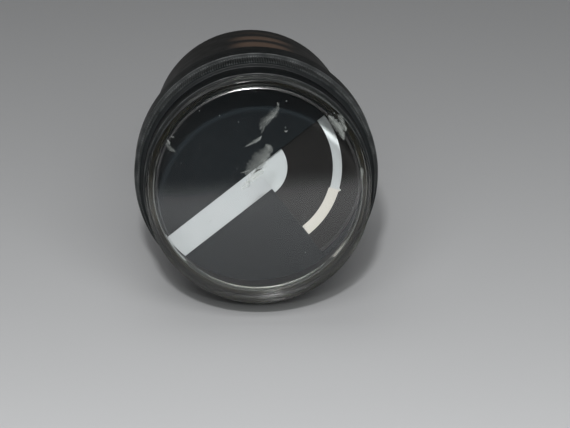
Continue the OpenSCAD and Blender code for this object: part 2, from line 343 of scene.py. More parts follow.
def smooth_path(points: np.ndarray, steps: int) -> np.ndarray:
    """Draws a smooth curve through points.

    Between P1 and P2 it is 0.5 (2 P1 + (P2-P0) t + (2 P0-5 P1+4 P2-P3) t^2 +
    (3 P1-P0-3 P2+P3) t^3).

    Args:
        points: Points on the curve, one row each.
        steps: Points between each pair.

    Returns:
        The points of the curve.
    """
    padded = np.vstack([2 * points[0] - points[1], points, 2 * points[-1] - points[-2]])
    p0, p1, p2, p3 = (padded[k : len(padded) - 3 + k, None] for k in range(4))
    t = np.linspace(0, 1, steps, endpoint=False)[None, :, None]
    curve = 0.5 * (
        2 * p1
        + (p2 - p0) * t
        + (2 * p0 - 5 * p1 + 4 * p2 - p3) * t**2
        + (3 * p1 - p0 - 3 * p2 + p3) * t**3
    )
    return np.vstack([curve.reshape(-1, points.shape[1]), points[-1:]])


def arc(radius: float | np.ndarray, start: float, end: float, steps: int) -> np.ndarray:
    """Returns points (r cos a, r sin a) in the XZ plane between two angles in degrees."""
    angle = np.radians(np.linspace(start, end, steps))
    return np.stack([radius * np.cos(angle), radius * np.sin(angle)], axis=1)


def circle(radius: float) -> np.ndarray:
    """Returns the points of a circle in the XZ plane, anticlockwise, each one once."""
    return arc(radius, 0, 360, PLATE_POINTS + 1)[:-1]


# Placing


@dataclass
class Workshop:
    """Turns surfaces into pieces that ride on the frame.

    An edge is sharp where its faces turn by more than the crease.
    """

    crease_deg: float = 32.0

    def add(
        self,
        name: str,
        surface: Surface,
        finish: bpy.types.Material,
        slot: Slot,
        body: Body = Body.CASE,
        replaced: str = "",
    ) -> bpy.types.Object:
        """Makes a piece and ties it to its body and CAD node.

        Args:
            name: Name of the piece.
            surface: Its shape, in millimetres.
            finish: Its material.
            slot: Slot of the record that the finish stands for; not used.
            body: Body that it rides on.
            replaced: CAD node that it stands for.

        Returns:
            The new object.
        """
        mesh = bpy.data.meshes.new(name)
        sizes = np.concatenate([np.full(len(f), f.shape[1]) for f in surface.faces])
        loops = np.concatenate([f.ravel() for f in surface.faces]).astype(np.int32)
        mesh.vertices.add(len(surface.points))
        mesh.vertices.foreach_set("co", (surface.points * MM).astype(np.float32).ravel())
        mesh.loops.add(len(loops))
        mesh.loops.foreach_set("vertex_index", loops)
        mesh.polygons.add(len(sizes))
        starts = np.concatenate([[0], np.cumsum(sizes)[:-1]]).astype(np.int32)
        mesh.polygons.foreach_set("loop_start", starts)
        mesh.polygons.foreach_set("use_smooth", np.ones(len(sizes), bool))
        if surface.share is not None:
            share = mesh.attributes.new("share", "FLOAT", "POINT")
            share.data.foreach_set("value", surface.share.astype(np.float32))
        mesh.update(calc_edges=True)
        mesh.validate()
        mesh.set_sharp_from_angle(angle=math.radians(self.crease_deg))
        mesh.materials.append(finish)
        piece = bpy.data.objects.new(name, mesh)
        bpy.context.scene.collection.objects.link(piece)
        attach(piece, body.value)
        if replaced:
            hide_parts(replaced)
        log.info("%s: %d points, rides on %s", name, len(surface.points), body.value)
        return piece

    def keep(self, node: str, finish: bpy.types.Material) -> None:
        """Gives a CAD node that stays its finish.

        Args:
            node: Name of the CAD node.
            finish: Its material.
        """
        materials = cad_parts[node].data.materials
        materials.clear()
        materials.append(finish)
        log.info("%s: CAD solid kept, finished as %s", node, finish.name)


# Finishes

# Output of a node, which may be linked to another node's input
Socket = bpy.types.NodeSocket
# A step from 0 to 1 without corners, for a MapRange node
SMOOTH = {"interpolation_type": "SMOOTHSTEP"}


class NodeSheet:
    """Node tree that is filled one node at a time."""

    def __init__(self, tree: bpy.types.NodeTree) -> None:
        """Empties the tree."""
        self.tree = tree
        self.tree.nodes.clear()

    def add(
        self, kind: str, inputs: dict[Any, Any] | None = None, out: Any = 0, **settings: Any
    ) -> Any:
        """Adds a node with its settings, values and links.

        Args:
            kind: Type of the node, without the words that every type starts with.
            inputs: Value or socket for each input, by its name or number.
            out: Name or number of the output to return, or None for all of them.
            settings: Properties of the node.

        Returns:
            The output's socket, or all the outputs.
        """
        node = self.tree.nodes.new("ShaderNode" + kind)
        for key, value in settings.items():
            setattr(node, key, value)
        for key, value in (inputs or {}).items():
            if isinstance(value, Socket):
                self.tree.links.new(value, node.inputs[key])
            else:
                node.inputs[key].default_value = value
        if out is None or not node.outputs:
            return node.outputs
        return node.outputs[out]


class Palette(NodeSheet):
    """Node tree of one material, with the patterns that the finishes share."""

    def __init__(self, name: str) -> None:
        """Starts an empty material.

        Args:
            name: Name of the material.
        """
        self.material = bpy.data.materials.new(name)
        self.material.use_nodes = True
        super().__init__(self.material.node_tree)

    def place(self) -> Socket:
        """Returns Object coordinates in millimetres."""
        point = self.add("TexCoord", out="Object")
        return self.add("VectorMath", {0: point, 3: 1 / MM}, operation="SCALE")

    def round_axis(self) -> tuple[Socket, Socket, Socket]:
        """Measures each point from the instrument's axis.

        Returns:
            Radius and place along Y in millimetres, and the angle in radians.
        """
        x, y, z = self.add("SeparateXYZ", {0: self.place()}, None)
        flat = self.add("CombineXYZ", {0: x, 1: z, 2: 0.0})
        radius = self.add("VectorMath", {0: flat}, "Value", operation="LENGTH")
        return radius, y, self.add("Math", {0: z, 1: x}, operation="ARCTAN2")

    def cloud(
        self, size: float, detail: float = 3.0, stretch: tuple[float, ...] = (1, 1, 1)
    ) -> Socket:
        """Returns a noise from 0 to 1 whose lumps have a size in millimetres.

        Args:
            size: Size of the largest lumps.
            detail: Octaves of finer noise.
            stretch: How much longer the lumps are along each axis.

        Returns:
            The noise's value.
        """
        scale = tuple(1 / s for s in stretch)
        point = self.add("Mapping", {"Vector": self.place(), "Scale": scale})
        inputs = {"Vector": point, "Scale": 1 / size, "Detail": detail, "Roughness": 0.6}
        return self.add("TexNoise", inputs)

    def lathe_lines(self, pitch: float, waver: float = 0.3) -> Socket:
        """Returns fine lines round the axis, 0 to 1, as a turning tool leaves.

        Args:
            pitch: Distance between lines in millimetres.
            waver: How far a line strays, in pitches.

        Returns:
            A noise that changes with radius and place along Y and hardly with angle.
        """
        radius, y, _ = self.round_axis()
        across = self.add("Math", {0: radius, 1: pitch}, operation="DIVIDE")
        stray = {0: self.cloud(6.0, 1.0), 1: waver, 2: across}
        first = self.add("Math", stray, operation="MULTIPLY_ADD")
        second = self.add("Math", {0: y, 1: pitch}, operation="DIVIDE")
        point = self.add("CombineXYZ", {0: first, 1: second, 2: 0.0})
        return self.add("TexNoise", {"Vector": point, "Scale": 1.0, "Detail": 2.0})

    def specks(self, spacing: float, size: float) -> Socket:
        """Returns small round specks, 1 on a speck and 0 beside it.

        Args:
            spacing: Mean distance between specks in millimetres.
            size: Largest radius of a speck in millimetres.

        Returns:
            The specks' mask; a third of the cells have none.
        """
        inputs = {"Vector": self.place(), "Scale": 1 / spacing}
        distance, colour, *_ = self.add("TexVoronoi", inputs, None)
        luck = self.add("SeparateColor", {0: colour})
        grown = {0: luck, 1: 1.5 * size / spacing, 2: -0.5 * size / spacing}
        reach = self.add("Math", grown, operation="MULTIPLY_ADD")
        gap = self.add("Math", {0: reach, 1: distance}, operation="SUBTRACT")
        return self.add("MapRange", {0: gap, 1: 0.0, 2: 0.25 * size / spacing}, **SMOOTH)

    def finish(self, shader: Socket) -> bpy.types.Material:
        """Joins a shader to the output and returns the material."""
        self.add("OutputMaterial", {"Surface": shader})
        return self.material


@dataclass(frozen=True)
class Finish:
    """Opaque finish with mottling, grain, turning lines, and specks of dust."""

    name: str
    colour: str
    mottle: str
    roughness: float
    metallic: float = 0.0
    specular: float = 0.5
    coat: float = 0.0
    coat_roughness: float = 0.15
    mottle_mm: float = 5.0
    grain_mm: float = 0.25
    grain_depth_mm: float = 0.004
    rough_spread: float = 0.12
    line_pitch_mm: float = 0.0
    line_depth_mm: float = 0.002
    dust: str = ""
    dust_spacing_mm: float = 2.0
    dust_size_mm: float = 0.08
    bare: str = "#9DA1A1"
    mottle_span: tuple[float, float] = (0.35, 0.75)

    def base_colour(self, paint: Palette) -> Socket:
        """Adds the colour: the base, its mottling and its dust.

        Args:
            paint: Node tree of the material.

        Returns:
            The colour over the surface.
        """
        low, high = self.mottle_span
        share = paint.add("MapRange", {0: paint.cloud(self.mottle_mm), 1: low, 2: high}, **SMOOTH)
        mixed = {0: share, 6: linear(self.colour), 7: linear(self.mottle)}
        colour = paint.add("Mix", mixed, 2, data_type="RGBA")
        if self.dust:
            specks = paint.specks(self.dust_spacing_mm, self.dust_size_mm)
            mixed = {0: specks, 6: colour, 7: linear(self.dust)}
            colour = paint.add("Mix", mixed, 2, data_type="RGBA")
        return colour

    def relief(self, paint: Palette) -> Socket:
        """Adds the grain and the turning lines.

        Args:
            paint: Node tree of the material.

        Returns:
            The surface's normal with them.
        """
        grain = {"Height": paint.cloud(self.grain_mm), "Strength": 1.0}
        grain["Distance"] = self.grain_depth_mm * MM
        normal = paint.add("Bump", grain)
        if self.line_pitch_mm:
            lines = {"Height": paint.lathe_lines(self.line_pitch_mm), "Strength": 1.0}
            lines |= {"Distance": self.line_depth_mm * MM, "Normal": normal}
            normal = paint.add("Bump", lines)
        return normal

    def roughness_map(self, paint: Palette) -> Socket:
        """Adds a roughness that wanders round its mean by the finish's spread.

        Args:
            paint: Node tree of the material.

        Returns:
            The roughness.
        """
        low, high = self.roughness - self.rough_spread, self.roughness + self.rough_spread
        wander = {0: paint.cloud(self.mottle_mm * 0.4, 4.0), 1: 0.0, 2: 1.0, 3: low, 4: high}
        return paint.add("MapRange", wander)

    def bare_share(self, paint: Palette) -> Socket | None:
        """Returns where the finish is worn off, or None where it is whole."""
        return None

    def build(self) -> bpy.types.Material:
        """Makes the material; worn places show the bare metal under the finish.

        Returns:
            The material.
        """
        paint = Palette(self.name)
        inputs = {
            "Base Color": self.base_colour(paint),
            "Roughness": self.roughness_map(paint),
            "Normal": self.relief(paint),
            "Metallic": self.metallic,
            "Specular IOR Level": self.specular,
            "Coat Weight": self.coat,
            "Coat Roughness": self.coat_roughness,
        }
        share = self.bare_share(paint)
        if share is not None:
            bare = {0: share, 6: inputs["Base Color"], 7: linear(self.bare)}
            inputs["Base Color"] = paint.add("Mix", bare, 2, data_type="RGBA")
            inputs["Metallic"] = share
        return paint.finish(paint.add("BsdfPrincipled", inputs))


@dataclass(frozen=True)
class EdgeWornFinish(Finish):
    """Finish that is rubbed to bare metal on edges, by the mesh's own share."""

    least_worn: float = 0.12
    most_worn: float = 0.4
    patch_mm: float = 1.6
    patch_span: tuple[float, float] = (0.38, 0.7)

    def bare_share(self, paint: Palette) -> Socket | None:
        """Breaks the mesh's own share of wear into patches.

        Args:
            paint: Node tree of the material.

        Returns:
            The share of bare metal.
        """
        edge = paint.add("Attribute", out="Fac", attribute_name="share")
        low, high = self.patch_span
        patches = {0: paint.cloud(self.patch_mm, 4.0), 1: low, 2: high}
        patches |= {3: self.least_worn, 4: self.most_worn}
        patches = paint.add("MapRange", patches, **SMOOTH)
        return paint.add("Math", {0: edge, 1: patches}, operation="MULTIPLY")


@dataclass(frozen=True)
class RubbedLacquerWithPaintedSheen(Finish):
    """Dark lacquer on drawn brass, rubbed through in lines round the can, laid only on its top as a
    painted highlight where the light falls.
    """

    band_y: tuple[float, float] = (5.0, 31.0)
    band_deg: tuple[float, float] = (62.0, 106.0)
    front_fade_mm: float = 1.0
    rear_fade_mm: float = 9.0
    full_share: float = 0.2
    lines_mm: float = 3.2
    lines_waver: float = 0.5
    lines_span: tuple[float, float] = (0.36, 0.56)
    most_rubbed_and_sheen: float = 0.55

    def bare_share(self, paint: Palette) -> Socket | None:
        """Adds lines round the can, in a band on its top behind the flange: bare brass, placed as a
        painted highlight where the light falls.

        Args:
            paint: Node tree of the material.

        Returns:
            The share of bare metal.
        """
        _, y, angle = paint.round_axis()
        # The band on the can's top is a painted highlight: bare brass shows only where the light
        # falls
        low, high = (math.radians(a) for a in self.band_deg)
        off = paint.add("Math", {0: angle, 1: (low + high) / 2}, operation="SUBTRACT")
        off = paint.add("Math", {0: off}, operation="ABSOLUTE")
        half = (high - low) / 2
        share = paint.add("MapRange", {0: off, 1: half, 2: half * self.full_share}, **SMOOTH)
        start, end = self.band_y
        lines = paint.lathe_lines(self.lines_mm, self.lines_waver)
        thin, thick = self.lines_span
        for mask in (
            {0: y, 1: start - self.front_fade_mm, 2: start},
            {0: y, 1: end, 2: end - self.rear_fade_mm},
            {0: lines, 1: thin, 2: thick, 4: self.most_rubbed_and_sheen},
        ):
            factor = paint.add("MapRange", mask, **SMOOTH)
            share = paint.add("Math", {0: share, 1: factor}, operation="MULTIPLY")
        return share


@dataclass(frozen=True)
class TwoCoatPaint(Finish):
    """White paint that was laid in two coats on the arc, the later one creamier."""

    later: str = "#C8C6BD"
    joint_deg: float = -15.5
    joint_soft_deg: float = 0.8
    arc_from_mm: float = 8.0

    def base_colour(self, paint: Palette) -> Socket:
        """Adds the first coat's colour above the joint and the later one's below.

        Args:
            paint: Node tree of the material.

        Returns:
            The colour over the surface.
        """
        colour = super().base_colour(paint)
        radius, _, angle = paint.round_axis()
        joint, soft = math.radians(self.joint_deg), math.radians(self.joint_soft_deg)
        share = paint.add("MapRange", {0: angle, 1: joint + soft, 2: joint - soft}, **SMOOTH)
        on_arc = paint.add("Math", {0: radius, 1: self.arc_from_mm}, operation="GREATER_THAN")
        share = paint.add("Math", {0: share, 1: on_arc}, operation="MULTIPLY")
        return paint.add("Mix", {0: share, 6: colour, 7: linear(self.later)}, 2, data_type="RGBA")


@dataclass(frozen=True)
class ClearPane:
    """Flat of clear acrylic: see-through, mirrors a little, with hairlines and dust.

    It is a Transparent shader with a mirror mixed in by m + (1 - m) f^5, where m is
    its least mirror share and f is 0 face on and 1 edge on, so that lamps light the
    dial through it without bending. A curved pane gathers their light: what passes
    it is multiplied by its gain.
    """

    name: str
    haze: str = "#C9D0D0"
    clearness: float = 0.98
    gain: float = 1.0
    least_mirror: float = 0.038
    roughness: float = 0.03
    wave_mm: float = 9.0
    wave_depth_mm: float = 0.01
    hair_mm: float = 0.5
    hair_length: float = 16.0
    hair_span: tuple[float, float] = (0.7, 0.76)
    hair_share: float = 0.04
    dust_share: float = 0.35
    dust_spacing_mm: float = 1.1
    dust_size_mm: float = 0.09

    def build(self) -> bpy.types.Material:
        """Makes the material.

        Returns:
            The material.
        """
        paint = Palette(self.name)
        wave = {"Height": paint.cloud(self.wave_mm, 1.0), "Strength": 1.0}
        wave["Distance"] = self.wave_depth_mm * MM
        ray = paint.add("LightPath", out=None)
        more = self.clearness * (self.gain - 1)
        passed = {0: ray["Is Shadow Ray"], 1: more, 2: self.clearness}
        passed = paint.add("Math", passed, operation="MULTIPLY_ADD")
        clear = paint.add("BsdfTransparent", {"Color": passed})
        inputs = {"Color": (1, 1, 1, 1), "Roughness": self.roughness}
        mirror = paint.add("BsdfAnisotropic", inputs | {"Normal": paint.add("Bump", wave)})
        facing = paint.add("LayerWeight", {"Blend": 0.5}, "Facing")
        rise = paint.add("Math", {0: facing, 1: 5.0}, operation="POWER")
        share = paint.add("MapRange", {0: rise, 3: self.least_mirror, 4: 1.0})
        # Scattered light meets no mirror: what it would add shows as grain
        seen = {0: share, 1: ray["Is Camera Ray"]}
        share = paint.add("Math", seen, operation="MULTIPLY")
        pane = paint.add("MixShader", {0: share, 1: clear, 2: mirror})
        low, high = self.hair_span
        hairs = {0: paint.cloud(self.hair_mm, 2.0, (1, 1, self.hair_length)), 1: low, 2: high}
        hairs = paint.add("MapRange", hairs | {4: self.hair_share}, **SMOOTH)
        dust = paint.specks(self.dust_spacing_mm, self.dust_size_mm)
        veil = {0: dust, 1: self.dust_share, 2: hairs}
        veil = paint.add("Math", veil, operation="MULTIPLY_ADD")
        haze = paint.add("BsdfPrincipled", {"Base Color": linear(self.haze), "Roughness": 0.6})
        return paint.finish(paint.add("MixShader", {0: veil, 1: pane, 2: haze}))


@dataclass(frozen=True)
class ClearWall:
    """Thick clear acrylic seen edge-on: it bends light and mirrors it inside."""

    name: str
    tint: str = "#CAD0C6"
    straight: str = "#6E706E"
    roughness: float = 0.06
    refraction: float = 1.49
    wave_mm: float = 4.0
    wave_depth_mm: float = 0.001

    def build(self) -> bpy.types.Material:
        """Makes the material.

        Lamps and scattered light pass it straight and weakened, so that it casts a
        part shadow: focused light, sampled too seldom, would show as grain.

        Returns:
            The material.
        """
        paint = Palette(self.name)
        wave = {"Height": paint.cloud(self.wave_mm, 1.0), "Strength": 1.0}
        wave["Distance"] = self.wave_depth_mm * MM
        inputs = {
            "Base Color": linear(self.tint),
            "Roughness": self.roughness,
            "IOR": self.refraction,
            "Transmission Weight": 1.0,
            "Normal": paint.add("Bump", wave),
        }
        glass = paint.add("BsdfPrincipled", inputs)
        clear = paint.add("BsdfTransparent", {"Color": linear(self.straight)})
        ray = paint.add("LightPath", out=None)
        straight = {0: ray["Is Shadow Ray"], 1: ray["Is Diffuse Ray"]}
        straight = paint.add("Math", straight, operation="MAXIMUM")
        return paint.finish(paint.add("MixShader", {0: straight, 1: glass, 2: clear}))


@dataclass(frozen=True)
class BruisedAcrylic:
    """Torn and cracked acrylic: cloudy by the mesh's own share, clear at its edges."""

    name: str
    colour: str = "#A5AAA6"
    roughness: float = 0.4
    tear_mm: float = 0.9
    tear_span: tuple[float, float] = (0.2, 0.75)
    least_torn: float = 0.35
    grain_mm: float = 0.3
    grain_depth_mm: float = 0.005

    def build(self) -> bpy.types.Material:
        """Makes the material.

        Returns:
            The material.
        """
        paint = Palette(self.name)
        own = paint.add("Attribute", out="Fac", attribute_name="share")
        low, high = self.tear_span
        tear = {0: paint.cloud(self.tear_mm, 4.0), 1: low, 2: high, 3: self.least_torn}
        share = {0: own, 1: paint.add("MapRange", tear)}
        share = paint.add("Math", share, operation="MULTIPLY")
        relief = {"Height": paint.cloud(self.grain_mm, 3.0), "Strength": 1.0}
        relief["Distance"] = self.grain_depth_mm * MM
        inputs = {"Base Color": linear(self.colour), "Roughness": self.roughness}
        torn = paint.add("BsdfPrincipled", inputs | {"Normal": paint.add("Bump", relief)})
        clear = paint.add("BsdfTransparent")
        return paint.finish(paint.add("MixShader", {0: share, 1: clear, 2: torn}))


# Clear cap


class CapFace(IntEnum):
    """Faces of the clear cap, each by the number of its material."""

    WALL = 0
    FLAT = 1
    INNER_ROUND = 2
    OUTSIDE = 3


@dataclass
class ClearCap:
    """Thick clear cap with a bevelled inner corner, and the seal behind it.

    Its front lies a hair inside the CAD one, to leave room for the burrs on it.
    """

    front: float = -18.98
    inside: float = -16.4
    neck_front: float = -14.8
    spigot_back: float = -13.4
    outer_r: float = 13.0
    spigot_r: float = 12.75
    bore_r: float = 12.2
    bevel: float = 0.17
    corner_r: float = 0.6
    corner_deg: float = 45.0
    edge_r: float = 0.08
    seal_t: float = 0.4
    seal_bore_r: float = 12.25
    air: float = 0.02

    def cap(self) -> Surface:
        """Turns the cap: its section is the CAD one, with every edge rounded.

        Returns:
            The closed cap.
        """
        corner = math.radians(self.corner_deg)
        rise = self.corner_r * (1 - math.cos(corner))
        tangent = self.corner_r * math.tan(corner / 2)
        flat_r = self.bore_r - self.bevel - self.corner_r * math.sin(corner)
        points = [
            (0.0, self.front), (self.outer_r, self.front), (self.outer_r, self.neck_front),
            (self.spigot_r, self.neck_front), (self.spigot_r, self.spigot_back),
            (self.bore_r, self.spigot_back), (self.bore_r, self.inside + rise + self.bevel),
            (flat_r + tangent, self.inside), (0.0, self.inside),
        ]
        radii = [0.0, self.edge_r, 0.03, 0.02, 0.05, 0.05, 0.05, tangent, 0.0]
        return turned(rounded(points, radii, 7), FINE_COLUMNS)

    def seal(self) -> Surface:
        """Turns the seal, a breath of air behind the spigot so that both show.

        Returns:
            The closed ring.
        """
        front, back = self.spigot_back + self.air, self.spigot_back + self.seal_t
        inner, outer = self.seal_bore_r, self.spigot_r - self.air
        points = [(inner, front), (outer, front), (outer, back), (inner, back)]
        return turned(rounded(points, [0.08, 0.03, 0.03, 0.08], 5))

    def build(self, shop: Workshop) -> None:
        """Makes the cap and its seal.

        Args:
            shop: Where the pieces are made.
        """
        # Moulded and polished acrylic: nearly invisible from the front, with the room's
        # reflection on it, and a bright ring where its inner bevel turns the light
        pane = ClearPane("polished clear acrylic").build()
        wall = ClearWall("clear acrylic edge").build()
        # The moulded round inside was never polished: the lamp shows in it as a broad
        # glint, and throws a light line round the edge of its light on the dial
        moulded = ClearPane("moulded clear acrylic", gain=3.0, least_mirror=0.12,
                            roughness=0.14).build()
        # The outside was turned to size and is tinted dark grey as painted shade: less light comes
        # in through it, so the cap's side and ring show darker
        turned_edge = ClearWall("turned acrylic edge", tint="#494C47", roughness=0.12).build()
        piece = shop.add("clear_cap", self.cap(), wall, Slot.CLEAR_ACRYLIC, replaced="front_cap")
        for finish in (pane, moulded, turned_edge):
            piece.data.materials.append(finish)
        centres = np.empty(3 * len(piece.data.polygons), np.float32)
        piece.data.polygons.foreach_get("center", centres)
        x, y, z = centres.reshape(-1, 3).T / MM
        radius = np.hypot(x, z)
        front, inside = (np.isclose(y, flat, atol=1e-3) for flat in (self.front, self.inside))
        kind = np.select(
            [front | inside, radius < self.bore_r - self.bevel, radius > self.spigot_r],
            [CapFace.FLAT, CapFace.INNER_ROUND, CapFace.OUTSIDE], CapFace.WALL,
        )
        piece.data.polygons.foreach_set("material_index", kind.astype(np.int32))
        # Aged rubber: dull brown, without gloss
        rubber = Finish("aged brown rubber", "#24221B", "#403822", 0.65, specular=0.2, mottle_mm=4,
                        grain_mm=0.15, grain_depth_mm=0.01).build()
        shop.add("cap_seal_ring", self.seal(), rubber, Slot.BROWN_GASKET, replaced="cap_seal")


# Photograph's pixels of the cap's front: its centre and its pixels per millimetre
FRONT_CENTRE_PX = (258.6, 192.6)
FRONT_PX_PER_MM = (8.70, 8.565)


@dataclass(frozen=True)
class Stroke:
    """One bruise on the cap: its path in pixels of the photograph, its widest width
    in millimetres, and how cloudy it is at most."""

    path_px: tuple[tuple[float, float], ...]
    width: float
    cloudy: float


# The long scrape over the dial, from its upper end down to the hub
SCRAPE = (
    Stroke(((279, 107), (275, 112), (269, 118), (263, 124), (260, 130)), 1.1, 0.17),
    Stroke(((277, 111), (272, 117), (266, 121)), 0.5, 0.14),
    Stroke(((265, 126), (263, 130), (261, 134)), 0.3, 0.16),
    Stroke(((262, 136), (259, 139), (254, 142), (245, 147)), 0.42, 0.36),
    Stroke(((269, 146), (264, 154), (259, 161), (253, 168), (245, 175)), 2.1, 0.25),
    Stroke(((271, 152), (266, 158), (262, 164), (256, 171)), 0.7, 0.16),
    Stroke(((265, 145), (270, 148), (272, 153)), 0.6, 0.22),
    Stroke(((264, 170), (257, 174), (252, 178), (246, 183)), 1.1, 0.85),
    Stroke(((250, 181), (246, 185), (242, 189)), 0.6, 0.50),
    Stroke(((240, 173), (245, 172), (250, 170)), 0.17, 0.35),
    Stroke(((277, 103), (278, 105), (278, 107)), 0.34, 0.30),
)
# Chips at the cap's left and right edge, and a speck beside the scrape
CHIPS = (
    Stroke(((167, 139), (169, 142), (170, 145)), 0.32, 0.35),
    Stroke(((171, 136), (173, 137), (175, 137)), 0.22, 0.35),
    Stroke(((166, 142), (169, 147), (173, 150), (176, 152)), 0.55, 0.18),
    Stroke(((328, 116), (333, 122), (340, 131), (344, 141)), 0.95, 0.40),
    Stroke(((337, 115), (341, 120), (343, 127), (345, 132)), 0.70, 0.25),
    Stroke(((344, 126), (346, 129), (345, 132)), 0.22, 0.60),
    Stroke(((361, 168), (362, 173), (361, 180)), 0.45, 0.30),
    Stroke(((284, 131), (286, 132), (288, 131)), 0.22, 0.45),
)
# Dark cracks where the scrape ends
CRACKS = (
    Stroke(((264, 167), (259, 170), (257, 171), (253, 174)), 0.17, 0.9),
    Stroke(((249, 181), (250, 185), (247, 188)), 0.11, 0.5),
)


@dataclass
class CapWear:
    """Bruises on the cap's front: thin raised burrs of torn acrylic."""

    front: float = -18.98
    height: float = 0.02
    sunk: float = 0.3
    seed: int = 7
    turns: int = 16
    steps: int = 14
    knots: int = 24
    taper: float = 0.6
    ragged: float = 0.3
    softness: float = 1.5
    skew: float = 0.6

    def stroke(self, stroke: Stroke, number: int) -> Surface:
        """Makes one burr.

        It is a grid of (place s along the path, turn t round a flat lens). Its half
        width is W/2 sin(pi s)^p (1 + r n(s)), with p its taper, r its raggedness and n
        a noise, and it stands h sin(pi s) sin t out of the cap. Its cloudiness is
        |sin t|^q (1 + k cos t) / (1 + k), with q its softness and k its skew.

        Args:
            stroke: Its path, width and cloudiness.
            number: Number of the stroke, which sets its ragged edge.

        Returns:
            The closed burr.
        """
        flat = (np.array(stroke.path_px, float) - FRONT_CENTRE_PX) / FRONT_PX_PER_MM * (1, -1)
        path = smooth_path(flat, self.steps)
        along = np.linspace(0, 1, len(path))
        rng = np.random.default_rng(self.seed + number)
        knots = np.linspace(0, 1, self.knots)
        noise = np.interp(along, knots, rng.uniform(-1, 1, self.knots))
        half = 0.5 * stroke.width * np.sin(np.pi * along) ** self.taper
        half = half * (1 + self.ragged * noise)
        ahead = np.gradient(path, axis=0)
        side = np.stack([-ahead[:, 1], ahead[:, 0]], axis=1)
        side /= np.linalg.norm(side, axis=1, keepdims=True)
        turn = np.linspace(0, TAU, self.turns, endpoint=False)[None, :]
        across = half[:, None] * np.cos(turn)
        out = self.height * np.sin(np.pi * along)[:, None] * np.maximum(np.sin(turn), -self.sunk)
        x, z = (path[:, k : k + 1] + side[:, k : k + 1] * across for k in (0, 1))
        grid = np.stack([x, self.front - out, z], axis=-1)
        lean = (1 + self.skew * np.cos(turn)) / (1 + self.skew)
        cloudy = stroke.cloudy * (np.abs(np.sin(turn)) ** self.softness * lean + 0 * half[:, None])
        faces = grid_faces(len(path), self.turns, wrap_rows=False, wrap_columns=True)
        return Surface(grid.reshape(-1, 3), [faces], cloudy.ravel()).welded().outward()

    def surface(self, strokes: tuple[Stroke, ...], first: int) -> Surface:
        """Makes all the burrs of a list.

        Args:
            strokes: The burrs.
            first: Number of the first one.

        Returns:
            The burrs as a single surface.
        """
        whole = self.stroke(strokes[0], first)
        for number, stroke in enumerate(strokes[1:], first + 1):
            whole = whole.joined(self.stroke(stroke, number))
        return whole

    def build(self, shop: Workshop) -> None:
        """Makes the scrape over the dial, its cracks and the chips at the cap's edge.

        Args:
            shop: Where the pieces are made.
        """
        # Acrylic that was scraped and bruised: grey and cloudy, brightest where it is torn
        bruised = BruisedAcrylic("bruised acrylic").build()
        # A crack turns light away and shows as a dark line
        cracked = BruisedAcrylic("cracked acrylic", "#101212").build()
        first = 0
        for name, strokes, finish in (
            ("cap_scrape", SCRAPE, bruised), ("cap_chips", CHIPS, bruised),
            ("cap_cracks", CRACKS, cracked),
        ):
            shop.add(name, self.surface(strokes, first), finish, Slot.CLEAR_ACRYLIC)
            first += len(strokes)


# Case


